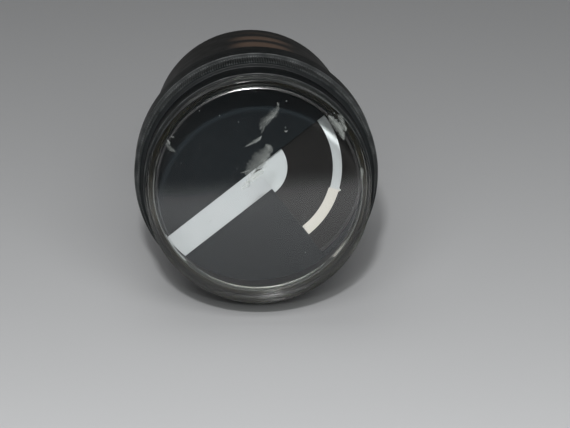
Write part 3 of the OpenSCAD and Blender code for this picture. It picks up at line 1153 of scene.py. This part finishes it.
@dataclass
class KnurledCase:
    """Stepped case with a plain neck, a finely knurled band and a plain flange."""

    neck_front: float = -14.8
    neck_r: float = 13.3
    case_front: float = -9.7
    knurl_r: float = 14.05
    knurl_back: float = -6.0
    knurl_depth: float = 0.14
    knurls: int = 300
    knurl_columns: int = 4
    case_r: float = 14.5
    chamfer: float = 0.2
    bore_r: float = 12.75
    lip_r: float = 12.4
    lip_front: float = -13.0
    lip_t: float = 0.4
    front_chamber_r: float = 13.2
    chamber_r: float = 13.75
    shoulder_back: float = -9.1
    air: float = 0.02
    wear_mm: float = 0.07
    crest_worn: float = 0.7
    shoulder_worn: float = 0.14

    def section(self) -> np.ndarray:
        """Draws the case's section, with each edge rounded.

        Returns:
            Radius and place along Y of each point.
        """
        root, bore = self.knurl_r - self.knurl_depth, self.bore_r + self.air
        front, back = self.neck_front + self.air, self.lip_front + self.lip_t
        points = [
            (bore, front), (self.neck_r, front),
            (self.neck_r, self.case_front), (root - self.chamfer, self.case_front),
            (self.knurl_r, self.case_front + self.chamfer), (self.knurl_r, self.knurl_back),
            (self.case_r, self.knurl_back), (self.case_r, -self.chamfer),
            (self.case_r - self.chamfer, 0.0), (self.chamber_r, 0.0),
            (self.chamber_r, self.knurl_back), (self.front_chamber_r, self.knurl_back),
            (self.front_chamber_r, self.shoulder_back), (bore, self.shoulder_back),
            (bore, back), (self.lip_r, back), (self.lip_r, self.lip_front), (bore, self.lip_front),
        ]
        radii = [0.05, 0.12, 0.1, 0.05, 0.06, 0.03, 0.14, 0.08, 0.08, 0.05, 0.05, 0.05,
                 0.05, 0.05, 0.05, 0.05, 0.05, 0.05]
        return rounded(points, radii, 4)

    def surface(self) -> Surface:
        """Makes the case.

        Radius at a row and an angle a is r - d w (0.5 - 0.5 cos(N a)), where w is 1
        in the knurled band and 0 elsewhere. The real knurls are half as wide: they
        are drawn coarser, to show in the picture. The share of wear is
        exp(-(e / W)^2) at a distance e from the nearest outer edge, and no less than
        a set share on the knurls' crests and on the flange's shoulder.

        Returns:
            The closed case.
        """
        section = self.section()
        columns = self.knurls * self.knurl_columns
        angle = np.linspace(0, TAU, columns, endpoint=False)[None, :]
        radius, place = section[:, :1], section[:, 1:]
        off = np.abs(radius - (self.knurl_r - self.knurl_depth + self.knurl_r) / 2)
        band = (place < self.knurl_back + self.air / 2) & (off < self.knurl_depth)
        shoulder = (radius > self.knurl_r + self.air) & (place < self.knurl_back + self.chamfer)
        valley = band * (0.5 - 0.5 * np.cos(self.knurls * angle))
        carved = radius - self.knurl_depth * valley
        edges = np.array([
            (self.neck_r, self.neck_front), (self.knurl_r, self.case_front + self.chamfer),
            (self.case_r, self.knurl_back), (self.case_r, -self.chamfer),
        ])
        gap = np.linalg.norm(section[:, None, :] - edges[None, :, :], axis=-1).min(axis=1)
        worn = np.exp(-((gap[:, None] / self.wear_mm) ** 2))
        worn = np.maximum(worn, self.crest_worn * band + self.shoulder_worn * shoulder)
        worn = worn * (1 - valley)
        whole = spun(carved, place, angle)
        return Surface(whole.points, whole.faces, worn.ravel()).outward()

    def build(self, shop: Workshop) -> None:
        """Makes the case.

        Args:
            shop: Where the pieces are made.
        """
        # Dyed anodising on turned aluminium: deep satin black, grey where hands rub it
        anodised = EdgeWornFinish(
            "black anodised aluminium", "#0B0E0F", "#101314", 0.4, specular=0.15,
            mottle_mm=3, grain_mm=0.2, grain_depth_mm=0.002, dust="#4A4E4E",
            dust_spacing_mm=1.5, dust_size_mm=0.06,
        ).build()
        shop.add("knurled_case", self.surface(), anodised, Slot.SATIN_BLACK, replaced="front_case")


@dataclass
class DrawnCan:
    """Can with a front flange, a drawn tube and a rear edge spun over the cover."""

    radius: float = 12.5
    bore_r: float = 11.75
    length: float = 33.0
    flange_r: float = 13.75
    flange_front: float = -1.8
    recess_r: float = 13.1
    recess_back: float = -0.6
    front_lip_r: float = 11.0
    seat: float = 1.0
    rear_lip_r: float = 11.2
    lip_t: float = 0.8

    def surface(self) -> Surface:
        """Turns the can, with soft drawn corners.

        Returns:
            The closed can.
        """
        points = [
            (self.recess_r, self.flange_front), (self.flange_r, self.flange_front),
            (self.flange_r, 0.0), (self.radius, 0.0), (self.radius, self.length),
            (self.rear_lip_r, self.length), (self.rear_lip_r, self.length - self.lip_t),
            (self.bore_r, self.length - self.lip_t), (self.bore_r, self.seat),
            (self.front_lip_r, self.seat), (self.front_lip_r, self.recess_back),
            (self.recess_r, self.recess_back),
        ]
        radii = [0.05, 0.05, 0.05, 0.1, 0.6, 0.3, 0.25, 0.05, 0.05, 0.05, 0.05, 0.05]
        return turned(rounded(points, radii, 8))

    def build(self, shop: Workshop) -> None:
        """Makes the can.

        Args:
            shop: Where the pieces are made.
        """
        # Stoved lacquer over drawn brass: dark and half glossy, with coppery lines
        # of bare brass round the can's top, a painted highlight where the light falls
        lacquer = RubbedLacquerWithPaintedSheen(
            "dark lacquer on drawn brass", "#1F1F1E", "#262524", 0.42, specular=0.35,
            mottle_mm=5, grain_mm=0.3, grain_depth_mm=0.002, line_pitch_mm=0.5,
            bare="#B4947E",
        ).build()
        shop.add("drawn_can", self.surface(), lacquer, Slot.CAN_LACQUER, replaced="body_can")


# Dial


@dataclass
class Dial:
    """Fixed dial with its bar, and the disc that turns behind it with its marks."""

    dial_r: float = 13.7
    face: float = -2.2
    thickness: float = 0.4
    plate_edge: float = 0.05
    opening_r: float = 13.05
    divide_deg: float = 38.0
    opening_deg: float = 90.0
    bar_w: float = 3.15
    hub_r: float = 3.84
    hub_under: float = 0.5
    arc_in_r: float = 9.32
    arc_out_r: float = 10.42
    disc_r: float = 12.7
    disc_front: float = -1.35
    disc_t: float = 0.3
    mark_t: float = 0.05
    mark_edge: float = 0.015
    margin: float = 0.1
    hidden_bar_start: float = 1.2
    nib_deg: float = -15.5
    nib: float = 0.3
    nib_half_deg: float = 0.7
    nick: float = 0.15
    over_edge: float = 0.04

    def dial_plate(self) -> Surface:
        """Makes the dial: a round plate with a quarter cut out of it.

        Returns:
            The closed plate.
        """
        start, end = self.divide_deg, self.divide_deg - self.opening_deg
        cut = np.vstack([arc(self.opening_r, start, end, 80), np.zeros((1, 2))])
        back = self.face + self.thickness
        return plate([circle(self.dial_r), cut], self.face, back, self.plate_edge)

    def bar_outline(
        self, degrees: float, start: float, reach: float, on_right: bool = False
    ) -> np.ndarray:
        """Draws a straight bar with one long edge on a line from the centre.

        A point u along the line and v beside it is u a + v b, where a and b are unit
        vectors along the line and across it.

        Args:
            degrees: Angle of that line.
            start: Distance from the centre at which the bar starts.
            reach: Radius at which it ends, along a circle.
            on_right: True where the bar lies on the line's right, not on its left.

        Returns:
            The outline, anticlockwise.
        """
        low = math.degrees(math.asin(self.bar_w / reach))
        local = np.vstack([arc(reach, 0, low, 24), [[start, self.bar_w], [start, 0.0]]])
        if on_right:
            local = local[::-1] * (1, -1)
        turn = math.radians(degrees)
        along = np.array([math.cos(turn), math.sin(turn)])
        across = np.array([-along[1], along[0]])
        return local[:, :1] * along + local[:, 1:] * across

    def bar(self) -> Surface:
        """Makes the painted bar.

        Its upper edge lies on the dividing line, and its paint goes a little over the
        dial's cut edge.

        Returns:
            The closed coat of paint.
        """
        reach = self.dial_r - self.margin
        outline = self.bar_outline(self.divide_deg + 180, -self.over_edge, reach)
        return plate([outline], self.face - self.mark_t, self.face, self.mark_edge)

    def disc(self) -> Surface:
        """Turns the disc, with its edge eased.

        Returns:
            The closed disc.
        """
        front, back = self.disc_front, self.disc_front + self.disc_t
        points = [(0.0, front), (self.disc_r, front), (self.disc_r, back), (0.0, back)]
        return turned(rounded(points, [0, 0.08, 0.08, 0], 5))

    def marks(self) -> Surface:
        """Makes the disc's paint.

        It is the hub's quarter, which goes on a little under the dial; the arc, whose
        outer edge bulges by n exp(-((a - a0) / w)^2) and whose inner edge steps in
        where the two coats meet; and the bar that the next quarter turn brings up.

        Returns:
            The marks as a single surface.
        """
        start, end = self.divide_deg - self.opening_deg, self.divide_deg
        under = math.degrees(self.hub_under / self.hub_r)
        turn = math.radians(start)
        beside = self.hub_under * np.array([math.sin(turn), -math.cos(turn)])
        hub = np.vstack([arc(self.hub_r, start - under, end, 60), np.zeros((1, 2)), beside])
        degrees = np.linspace(start, end, 121)
        bulge = self.nib * np.exp(-(((degrees - self.nib_deg) / self.nib_half_deg) ** 2))
        step = self.nick * (degrees[::-1] < self.nib_deg)
        outer = arc(self.arc_out_r + bulge, start, end, 121)
        ring = np.vstack([outer, arc(self.arc_in_r - step, end, start, 121)])
        hidden = self.bar_outline(
            end + self.opening_deg, self.hidden_bar_start, self.disc_r - self.margin, on_right=True
        )
        front, back = self.disc_front - self.mark_t, self.disc_front
        whole = plate([hub], front, back, self.mark_edge)
        for outline in (ring, hidden):
            whole = whole.joined(plate([outline], front, back, self.mark_edge))
        return whole

    def build(self, shop: Workshop) -> None:
        """Makes the dial, the disc and their paint.

        Args:
            shop: Where the pieces are made.
        """
        # Sprayed matt paint on thin metal: even and dark, with dust on it. Its grain is
        # drawn three times as coarse as the real one, so that it shows
        grain = {"grain_mm": 0.15, "grain_depth_mm": 0.0006, "mottle_mm": 3.0, "rough_spread": 0.05}
        dial_black = Finish("matt blue-black paint", "#0C1215", "#0F1518", 0.8, specular=0.06,
                            dust="#565C5E", dust_spacing_mm=1.1, dust_size_mm=0.06, **grain).build()
        disc_black = Finish("matt warm black paint", "#151514", "#181716", 0.8, specular=0.06,
                            dust="#555450", dust_spacing_mm=1.3, dust_size_mm=0.05, **grain).build()
        # Brushed matt paint: white gone a little grey, in a coat with an edge of its own
        dial_white = Finish("matt white paint", "#B1B6B7", "#ADB3B4", 0.7, specular=0.2,
                            **grain).build()
        disc_white = TwoCoatPaint("matt white paint in two coats", "#B7BDBD", "#B3B9BA", 0.7,
                                  specular=0.2, **grain).build()
        shop.add("dial_face", self.dial_plate(), dial_black, Slot.DIAL_BLACK,
                 replaced="dial_plate")
        shop.add("dial_bar", self.bar(), dial_white, Slot.DIAL_WHITE, replaced="dial_bar_mark")
        shop.add("turning_disc", self.disc(), disc_black, Slot.DISC_BLACK, Body.ROTOR,
                 "indicator_disc")
        shop.add("disc_paint", self.marks(), disc_white, Slot.DISC_WHITE, Body.ROTOR,
                 "disc_marks")


# Movement


@dataclass
class Movement:
    """Everything between the dial and the rear cover, kept as its CAD solids."""

    lathe_mm: float = 0.12

    def build(self, shop: Workshop) -> None:
        """Gives each solid of the movement its finish.

        Args:
            shop: Where the solids get it.
        """
        lathe = {"metallic": 1.0, "line_pitch_mm": self.lathe_mm}
        finishes = {
            # Turned brass: warm yellow with rings of tool marks
            Finish("turned brass", "#B5925A", "#A5834C", 0.3, **lathe):
                ("disc_hub", "front_plate", "rear_plate", "magnet_sleeve", "spring_collet"),
            # Ground steel: cool grey and bright
            Finish("ground steel", "#B4B5B8", "#A5A6AA", 0.25, **lathe):
                ("rotor_shaft", "through_bolts", "through_bolt_nuts", "spring_stud", "stop_arm",
                 "stop_pins"),
            # Polished jewel: deep red under a hard gloss
            Finish("polished ruby jewel", "#8E1A2C", "#7C1224", 0.15, coat=0.5):
                ("front_jewel", "rear_jewel"),
            # Annealed stampings: dull grey with a fine scale
            Finish("soft iron stampings", "#7C7C7E", "#6C6B6B", 0.45, metallic=1.0, grain_mm=0.4):
                ("stator_core",),
            # Cast magnet alloy: dark, coarse and nearly matt
            Finish("cast magnet alloy", "#5C5C60", "#515154", 0.5, metallic=1.0, grain_mm=0.3,
                   grain_depth_mm=0.015):
                ("rotor_magnet",),
            # Moulded phenolic: brown with a soft shine
            Finish("moulded bobbin phenolic", "#5B3B22", "#4C301B", 0.4):
                ("coil_bobbins",),
            # Enamelled wire: copper seen through a glossy varnish, ribbed by its turns
            Finish("enamelled copper wire", "#9C5A32", "#8A4A27", 0.28, metallic=0.8, coat=0.6,
                   line_pitch_mm=0.15, line_depth_mm=0.02):
                ("coil_windings", "coil_leads"),
            # Heat-blued spring steel: dark blue and mirror-like
            Finish("blued spring steel", "#2E3760", "#3A3F63", 0.22, metallic=1.0):
                ("hairspring",),
            # Turned aluminium: pale grey with rings of tool marks
            Finish("turned aluminium", "#C3C4C4", "#B6B7B8", 0.32, **lathe):
                ("front_spacers", "rear_spacers", "movement_spacer"),
            # Moulded rubber: black without gloss
            Finish("black rubber", "#1F1F1F", "#272726", 0.7, grain_mm=0.2, grain_depth_mm=0.01):
                ("rear_gasket",),
        }
        for finish, nodes in finishes.items():
            material = finish.build()
            for node in nodes:
                shop.keep(node, material)


# Rear end


@dataclass
class RearEnd:
    """Moulded cover with four turret terminals."""

    cover_front: float = 30.2
    cover_back: float = 32.2
    cover_r: float = 11.75
    cover_edge: float = 0.04
    post_r: float = 0.7
    collar_r: float = 1.15
    collar_t: float = 0.5
    post_front: float = 25.0
    post_back: float = 38.2
    middle_collar: float = 35.8
    ring_r: float = 7.0
    first_deg: float = 45.0
    count: int = 4

    def places(self) -> np.ndarray:
        """Returns the terminals' places, evenly spaced on their ring."""
        ring = arc(self.ring_r, self.first_deg, self.first_deg + 360, self.count + 1)[:-1]
        return np.insert(ring, 1, 0.0, axis=1)

    def cover(self) -> Surface:
        """Makes the cover, drilled for the terminals.

        Returns:
            The closed plate.
        """
        holes = [arc(self.post_r, 360, 0, 33)[:-1] + place[[0, 2]] for place in self.places()]
        outlines = [circle(self.cover_r), *holes]
        return plate(outlines, self.cover_front, self.cover_back, self.cover_edge)

    def posts(self) -> Surface:
        """Turns the posts, each a bar with four collars.

        Returns:
            The posts as a single surface.
        """
        starts = (
            self.cover_front - self.collar_t, self.cover_back, self.middle_collar,
            self.post_back - self.collar_t,
        )
        profile = [(0.0, self.post_front), (self.post_r, self.post_front)]
        radii = [0.0, 0.1]
        for start in starts:
            end = start + self.collar_t
            profile += [(self.post_r, start), (self.collar_r, start), (self.collar_r, end),
                        (self.post_r, end)]
            radii += [0.05, 0.1, 0.1, 0.05]
        profile[-1], radii[-1] = (0.0, self.post_back), 0.0
        return turned(rounded(profile, radii, 4), 40).repeated(self.places())

    def build(self, shop: Workshop) -> None:
        """Makes the cover and the posts.

        Args:
            shop: Where the pieces are made.
        """
        # Moulded phenolic with wood flour: dark brown, flecked, with a low shine
        phenolic = Finish("moulded dark phenolic", "#33221A", "#432A1C", 0.35, mottle_mm=1.2,
                          grain_mm=0.3, grain_depth_mm=0.006, dust="#5A3F2C",
                          dust_spacing_mm=0.6, dust_size_mm=0.07).build()
        # Tinned brass: dull silver with a warm cast, soft edges
        tinned = Finish("tinned brass", "#BDB69C", "#AFA585", 0.3, metallic=1.0,
                        line_pitch_mm=0.1).build()
        shop.add("rear_cap", self.cover(), phenolic, Slot.PHENOLIC, replaced="rear_cover")
        shop.add("terminals", self.posts(), tinned, Slot.TINNED_BRASS, replaced="terminal_posts")


# Studio


@dataclass(frozen=True)
class Lamp:
    """Rectangular lamp: where it stands, its width and height in mm, and its power."""

    name: str
    place: tuple[float, float, float]
    size: tuple[float, float]
    watts: float
    glints: bool = False

    def build(self) -> None:
        """Makes the lamp, white and turned to face the instrument.

        Only a lamp that glints shows in polished surfaces: the soft ones stand for
        light that comes from all round the room.
        """
        data = bpy.data.lights.new(self.name, "AREA")
        data.shape = "RECTANGLE"
        data.size, data.size_y = self.size[0] * MM, self.size[1] * MM
        data.energy = self.watts
        lamp = bpy.data.objects.new(self.name, data)
        lamp.location = Vector(self.place) * MM
        lamp.rotation_euler = (-Vector(self.place)).to_track_quat("-Z", "Y").to_euler()
        lamp.visible_glossy = self.glints
        bpy.context.scene.collection.objects.link(lamp)


@dataclass
class Studio:
    """Pale floor, soft lamps and the camera at the photograph's viewpoint."""

    distance: float = 370.0
    above_deg: float = 9.9
    left_deg: float = 1.2
    focal_px: float = 3219.0
    sensor_mm: float = 36.0
    target: tuple[float, float, float] = (0.0, -19.0, 0.0)
    target_px: tuple[float, float] = FRONT_CENTRE_PX
    floor_half: float = 3000.0
    floor_lines: int = 13
    floor_drop: float = -14.53
    floor_rise: float = 2 / 33
    floor_colour: str = "#CBCCCD"
    dark_colour: str = "#1A1B1C"
    dark_lean: float = 0.55
    dark_band: tuple[float, float] = (-176.0, -138.0)
    horizon_colour: str = "#8E8E8D"
    upper_colour: str = "#303132"
    horizon_band: tuple[float, float] = (0.04, 0.16)
    flash_above: float = 66.0
    flash_left: float = 10.0

    def camera_place(self) -> Vector:
        """Works out where the camera stands.

        Returns:
            Its place in millimetres.
        """
        up, left = math.radians(self.above_deg), math.radians(self.left_deg)
        away = (-math.sin(left) * math.cos(up), -math.cos(left) * math.cos(up), math.sin(up))
        return Vector(self.target) + Vector(away) * self.distance

    def camera(self) -> None:
        """Makes the camera, turned so that the target falls on its pixel."""
        place = self.camera_place()
        look = (Vector(self.target) - place).normalized()
        pixel = (self.target_px[0] - IMAGE_W / 2, IMAGE_H / 2 - self.target_px[1], -self.focal_px)
        ray = Vector(pixel).normalized()
        reach = math.hypot(ray.y, ray.z)
        pitch = math.asin(look.z / reach) - math.atan2(ray.z, ray.y)
        tilted = Euler((pitch, 0, 0)).to_matrix() @ ray
        yaw = math.atan2(look.y, look.x) - math.atan2(tilted.y, tilted.x)
        data = bpy.data.cameras.new("photo_camera")
        data.sensor_width = self.sensor_mm
        data.lens = self.focal_px * self.sensor_mm / IMAGE_W
        data.clip_start, data.clip_end = 0.01, 20.0
        camera = bpy.data.objects.new("photo_camera", data)
        camera.location = place * MM
        camera.rotation_euler = Euler((pitch, 0, yaw))
        bpy.context.scene.collection.objects.link(camera)
        bpy.context.scene.camera = camera

    def floor_paint(self) -> bpy.types.Material:
        """Makes the floor's material.

        Polished surfaces see it go dark some way in front of the instrument, as if
        the pale floor ended there.

        Returns:
            The material.
        """
        paint = Palette("pale floor")
        across, along, _ = paint.add("SeparateXYZ", {0: paint.place()}, None)
        lean = {0: across, 1: self.dark_lean, 2: along}
        lean = paint.add("Math", lean, operation="MULTIPLY_ADD")
        far, near = self.dark_band
        dark = paint.add("MapRange", {0: lean, 1: near, 2: far}, **SMOOTH)
        glossy = paint.add("LightPath", out="Is Glossy Ray")
        share = paint.add("Math", {0: dark, 1: glossy}, operation="MULTIPLY")
        mixed = {0: share, 6: linear(self.floor_colour), 7: linear(self.dark_colour)}
        colour = paint.add("Mix", mixed, 2, data_type="RGBA")
        inputs = {"Base Color": colour, "Roughness": 0.85, "Specular IOR Level": 0.2}
        return paint.finish(paint.add("BsdfPrincipled", inputs))

    def floor(self) -> None:
        """Makes the pale floor that the case's edge and the can's rear edge rest on.

        Its height is z = drop + rise y.
        """
        line = np.linspace(-self.floor_half, self.floor_half, self.floor_lines)
        x, y = np.meshgrid(line, line, indexing="ij")
        points = np.stack([x, y, self.floor_drop + self.floor_rise * y], axis=-1)
        faces = grid_faces(len(line), len(line), wrap_rows=False, wrap_columns=False)
        mesh = bpy.data.meshes.new("floor")
        mesh.from_pydata((points.reshape(-1, 3) * MM).tolist(), [], faces.tolist())
        mesh.materials.append(self.floor_paint())
        floor = bpy.data.objects.new("floor", mesh)
        bpy.context.scene.collection.objects.link(floor)

    def lamps(self) -> None:
        """Makes the lamps: a small one over the camera and soft ones round about."""
        x, y, z = self.camera_place()
        flash = (x - self.flash_left, y, z + self.flash_above)
        for lamp in (
            Lamp("small lamp", flash, (14, 9), 1.1, glints=True),
            Lamp("soft front", (10, -480, 190), (350, 220), 1.85),
            Lamp("soft top", (-100, 150, 900), (700, 700), 1.0),
            Lamp("soft back", (90, 900, 260), (160, 160), 0.06),
        ):
            lamp.build()

    def world(self) -> None:
        """Makes the surroundings: paler at the horizon, dark higher up."""
        world = bpy.data.worlds.new("studio")
        bpy.context.scene.world = world
        world.use_nodes = True
        sheet = NodeSheet(world.node_tree)
        height = sheet.add("SeparateXYZ", {0: sheet.add("TexCoord", out="Generated")}, 2)
        height = sheet.add("Math", {0: height}, operation="ABSOLUTE")
        low, high = self.horizon_band
        share = sheet.add("MapRange", {0: height, 1: low, 2: high}, **SMOOTH)
        mixed = {0: share, 6: linear(self.horizon_colour), 7: linear(self.upper_colour)}
        light = sheet.add("Background", {0: sheet.add("Mix", mixed, 2, data_type="RGBA")})
        sheet.add("OutputWorld", {0: light})

    def build(self) -> None:
        """Makes the whole studio."""
        self.camera()
        self.floor()
        self.lamps()
        self.world()
        bpy.context.scene.view_settings.view_transform = "Standard"


# Main


def main() -> None:
    """Builds the studio and each sub-assembly."""
    logging.basicConfig(level=logging.INFO, format="%(message)s")
    Studio().build()
    shop = Workshop()
    for assembly in (
        ClearCap(), CapWear(), KnurledCase(), DrawnCan(), Dial(), Movement(), RearEnd(),
    ):
        log.info("%s", type(assembly).__name__)
        assembly.build(shop)


if __name__ == "__main__":
    main()
